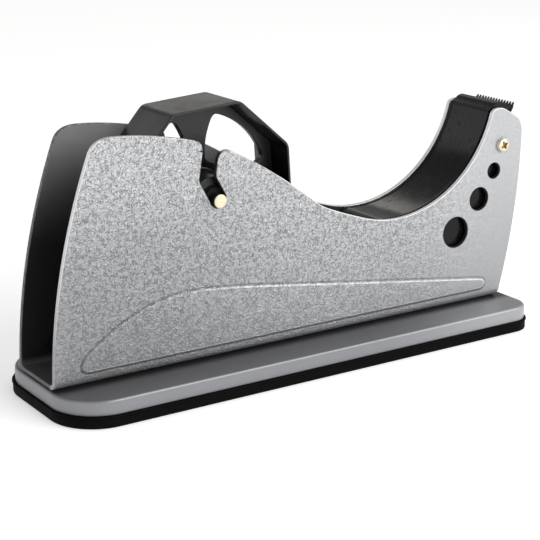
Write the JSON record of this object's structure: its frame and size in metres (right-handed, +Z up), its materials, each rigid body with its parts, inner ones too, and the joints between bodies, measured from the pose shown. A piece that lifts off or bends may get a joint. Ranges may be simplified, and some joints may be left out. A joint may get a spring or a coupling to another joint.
{
  "type": "tape dispenser",
  "caption": "Heavy desk tape dispenser: open channel frame on a weighted base, octagonal core hub on a lift-out axle, curved tape guide and toothed cutter.",
  "frame": {"origin": "middle of the object's bounding box in X and Y, on the surface that it stands on", "axes": "+X along the object towards the cutter, +Z up, +Y towards the far side plate"},
  "size_m": [0.2226, 0.0666, 0.1083],
  "materials": {
    "pad_rubber": "matt black rubber",
    "base_paint": "smooth silver-grey satin paint",
    "ballast_iron": "rough casting",
    "hammertone": "silver hammertone paint",
    "guide_plastic": "glossy black moulding",
    "blade_steel": "blackened steel",
    "hub_plastic": "satin black moulding",
    "axle_steel": "pale brass-coloured plating",
    "washer_nylon": "black nylon",
    "clip_steel": "phosphated spring steel",
    "screw_brass": "pale yellow plating, browner in the recess",
    "screw_zinc": "bright zinc plating"
  },
  "bodies": {
    "frame_body": {"rubber_pad": "pad_rubber", "base_pan": "base_paint", "ballast": "ballast_iron", "channel_frame": "hammertone", "guide": "guide_plastic", "blade": "blade_steel", "blade_screw_1": "screw_zinc", "blade_screw_2": "screw_zinc", "side_screw_near": "screw_brass", "side_screw_far": "screw_brass", "frame_bolt_1": "screw_zinc", "frame_bolt_2": "screw_zinc", "frame_bolt_3": "screw_zinc", "frame_bolt_4": "screw_zinc", "frame_nut_1": "screw_zinc", "frame_nut_2": "screw_zinc", "frame_nut_3": "screw_zinc", "frame_nut_4": "screw_zinc"},
    "axle_body": {"axle": "axle_steel", "washer_near": "washer_nylon", "washer_far": "washer_nylon", "clip_near": "clip_steel", "clip_far": "clip_steel"},
    "hub_body": {"hub": "hub_plastic"}
  },
  "joints": [
    {"name": "axle_lift", "type": "hinge", "parent": "frame_body", "child": "axle_body", "pos_m": [-0.02405, 0, 0.0848], "axis": [0, 1, 0], "range_deg": [0, 50]},
    {"name": "hub_spin", "type": "hinge", "parent": "axle_body", "child": "hub_body", "pos_m": [-0.03945, 0, 0.0725], "axis": [0, 1, 0], "continuous": true}
  ]
}
